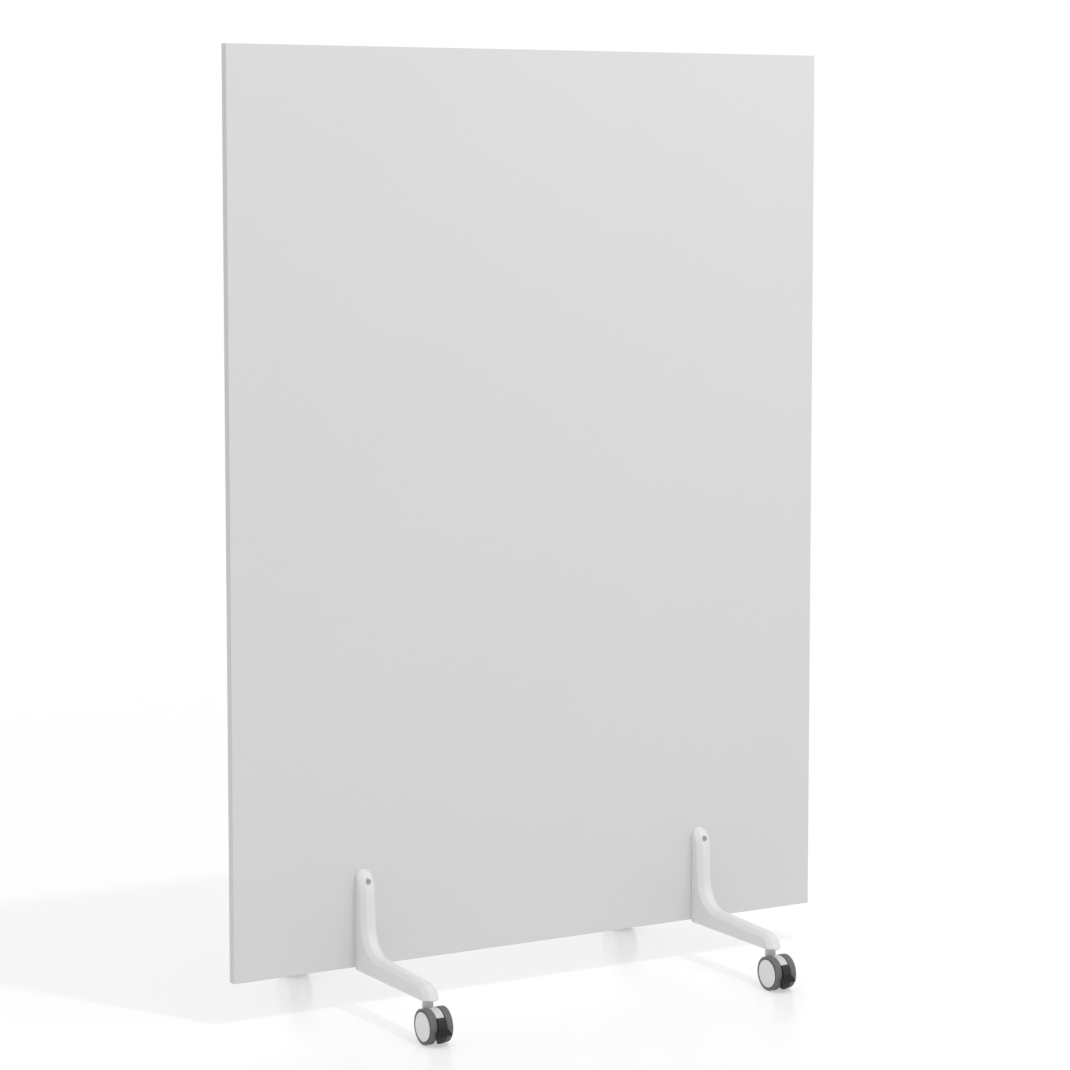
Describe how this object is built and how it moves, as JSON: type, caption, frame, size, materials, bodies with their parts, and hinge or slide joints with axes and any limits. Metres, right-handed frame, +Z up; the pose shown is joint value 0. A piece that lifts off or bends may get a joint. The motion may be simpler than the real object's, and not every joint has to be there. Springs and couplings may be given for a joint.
{
  "type": "rolling partition",
  "caption": "Free-standing flat panel clamped upright between front and back cast legs that roll on braked twin-wheel swivel casters, used to divide or screen off a space.",
  "frame": {"origin": "on the floor under the middle of the panel", "axes": "+Z up, X along the panel's width, the front face looks along -Y"},
  "size_m": [1.372, 0.6896, 1.916],
  "materials": {
    "panel_laminate": "smooth light grey laminate, satin",
    "panel_edge": "light grey edge band, satin",
    "panel_core": "pressed fibre board, hidden",
    "leg_paint": "white powder coat on a metal casting, fine texture, satin",
    "clamp_bolt": "zinc-plated socket head bolt",
    "sleeve_nut": "zinc-plated sleeve nut",
    "fastener_steel": "ground steel dowel",
    "caster_stem": "zinc-plated turned steel",
    "caster_steel": "bright drawn steel",
    "spring_steel": "dark spring steel",
    "caster_hood": "moulded light grey nylon, satin",
    "wheel_hub": "moulded grey nylon",
    "wheel_tyre": "grey non-marking tread, matt",
    "wheel_disc": "moulded light grey cover, satin",
    "brake_lever": "moulded black nylon, fine grain"
  },
  "bodies": {
    "partition": {"panel_core": "panel_core", "front_face": "panel_laminate", "back_face": "panel_laminate", "top_edge_strip": "panel_edge", "bottom_edge_strip": "panel_edge", "left_edge_strip": "panel_edge", "right_edge_strip": "panel_edge", "clamp_bolts": "clamp_bolt", "sleeve_nuts": "sleeve_nut", "locating_dowels": "fastener_steel", "caster_stems": "caster_stem", "stem_clips": "spring_steel", "front_left_leg": "leg_paint", "front_right_leg": "leg_paint", "back_left_leg": "leg_paint", "back_right_leg": "leg_paint"},
    "front_left_swivel": {"front_left_hood": "caster_hood", "front_left_axle": "caster_steel", "front_left_lever_pin": "caster_steel"},
    "front_left_outer_wheel": {"front_left_outer_hub": "wheel_hub", "front_left_outer_tyre": "wheel_tyre", "front_left_outer_disc": "wheel_disc"},
    "front_left_inner_wheel": {"front_left_inner_hub": "wheel_hub", "front_left_inner_tyre": "wheel_tyre", "front_left_inner_disc": "wheel_disc"},
    "front_left_lever": {"front_left_brake_lever": "brake_lever", "front_left_brake_bar": "caster_steel"},
    "front_right_swivel": {"front_right_hood": "caster_hood", "front_right_axle": "caster_steel", "front_right_lever_pin": "caster_steel"},
    "front_right_outer_wheel": {"front_right_outer_hub": "wheel_hub", "front_right_outer_tyre": "wheel_tyre", "front_right_outer_disc": "wheel_disc"},
    "front_right_inner_wheel": {"front_right_inner_hub": "wheel_hub", "front_right_inner_tyre": "wheel_tyre", "front_right_inner_disc": "wheel_disc"},
    "front_right_lever": {"front_right_brake_lever": "brake_lever", "front_right_brake_bar": "caster_steel"},
    "back_left_swivel": {"back_left_hood": "caster_hood", "back_left_axle": "caster_steel", "back_left_lever_pin": "caster_steel"},
    "back_left_outer_wheel": {"back_left_outer_hub": "wheel_hub", "back_left_outer_tyre": "wheel_tyre", "back_left_outer_disc": "wheel_disc"},
    "back_left_inner_wheel": {"back_left_inner_hub": "wheel_hub", "back_left_inner_tyre": "wheel_tyre", "back_left_inner_disc": "wheel_disc"},
    "back_left_lever": {"back_left_brake_lever": "brake_lever", "back_left_brake_bar": "caster_steel"},
    "back_right_swivel": {"back_right_hood": "caster_hood", "back_right_axle": "caster_steel", "back_right_lever_pin": "caster_steel"},
    "back_right_outer_wheel": {"back_right_outer_hub": "wheel_hub", "back_right_outer_tyre": "wheel_tyre", "back_right_outer_disc": "wheel_disc"},
    "back_right_inner_wheel": {"back_right_inner_hub": "wheel_hub", "back_right_inner_tyre": "wheel_tyre", "back_right_inner_disc": "wheel_disc"},
    "back_right_lever": {"back_right_brake_lever": "brake_lever", "back_right_brake_bar": "caster_steel"}
  },
  "joints": [
    {"name": "front_left_swivel_turn", "type": "hinge", "parent": "partition", "child": "front_left_swivel", "pos_m": [-0.401, -0.2795, 0.06], "axis": [0, 0, 1], "continuous": true},
    {"name": "front_left_outer_wheel_spin", "type": "hinge", "parent": "front_left_swivel", "child": "front_left_outer_wheel", "pos_m": [-0.401, -0.303, 0.035], "axis": [1, 0, 0], "continuous": true},
    {"name": "front_left_inner_wheel_spin", "type": "hinge", "parent": "front_left_swivel", "child": "front_left_inner_wheel", "pos_m": [-0.401, -0.303, 0.035], "axis": [1, 0, 0], "continuous": true},
    {"name": "front_left_lever_press", "type": "hinge", "parent": "front_left_swivel", "child": "front_left_lever", "pos_m": [-0.401, -0.32148, 0.05496], "axis": [1, 0, 0], "range_deg": [0, 9]},
    {"name": "front_right_swivel_turn", "type": "hinge", "parent": "partition", "child": "front_right_swivel", "pos_m": [0.401, -0.2795, 0.06], "axis": [0, 0, 1], "continuous": true},
    {"name": "front_right_outer_wheel_spin", "type": "hinge", "parent": "front_right_swivel", "child": "front_right_outer_wheel", "pos_m": [0.401, -0.303, 0.035], "axis": [1, 0, 0], "continuous": true},
    {"name": "front_right_inner_wheel_spin", "type": "hinge", "parent": "front_right_swivel", "child": "front_right_inner_wheel", "pos_m": [0.401, -0.303, 0.035], "axis": [1, 0, 0], "continuous": true},
    {"name": "front_right_lever_press", "type": "hinge", "parent": "front_right_swivel", "child": "front_right_lever", "pos_m": [0.401, -0.32148, 0.05496], "axis": [1, 0, 0], "range_deg": [0, 9]},
    {"name": "back_left_swivel_turn", "type": "hinge", "parent": "partition", "child": "back_left_swivel", "pos_m": [-0.401, 0.2795, 0.06], "axis": [0, 0, 1], "continuous": true},
    {"name": "back_left_outer_wheel_spin", "type": "hinge", "parent": "back_left_swivel", "child": "back_left_outer_wheel", "pos_m": [-0.401, 0.303, 0.035], "axis": [1, 0, 0], "continuous": true},
    {"name": "back_left_inner_wheel_spin", "type": "hinge", "parent": "back_left_swivel", "child": "back_left_inner_wheel", "pos_m": [-0.401, 0.303, 0.035], "axis": [1, 0, 0], "continuous": true},
    {"name": "back_left_lever_press", "type": "hinge", "parent": "back_left_swivel", "child": "back_left_lever", "pos_m": [-0.401, 0.32148, 0.05496], "axis": [-1, 0, 0], "range_deg": [0, 9]},
    {"name": "back_right_swivel_turn", "type": "hinge", "parent": "partition", "child": "back_right_swivel", "pos_m": [0.401, 0.2795, 0.06], "axis": [0, 0, 1], "continuous": true},
    {"name": "back_right_outer_wheel_spin", "type": "hinge", "parent": "back_right_swivel", "child": "back_right_outer_wheel", "pos_m": [0.401, 0.303, 0.035], "axis": [1, 0, 0], "continuous": true},
    {"name": "back_right_inner_wheel_spin", "type": "hinge", "parent": "back_right_swivel", "child": "back_right_inner_wheel", "pos_m": [0.401, 0.303, 0.035], "axis": [1, 0, 0], "continuous": true},
    {"name": "back_right_lever_press", "type": "hinge", "parent": "back_right_swivel", "child": "back_right_lever", "pos_m": [0.401, 0.32148, 0.05496], "axis": [-1, 0, 0], "range_deg": [0, 9]}
  ]
}
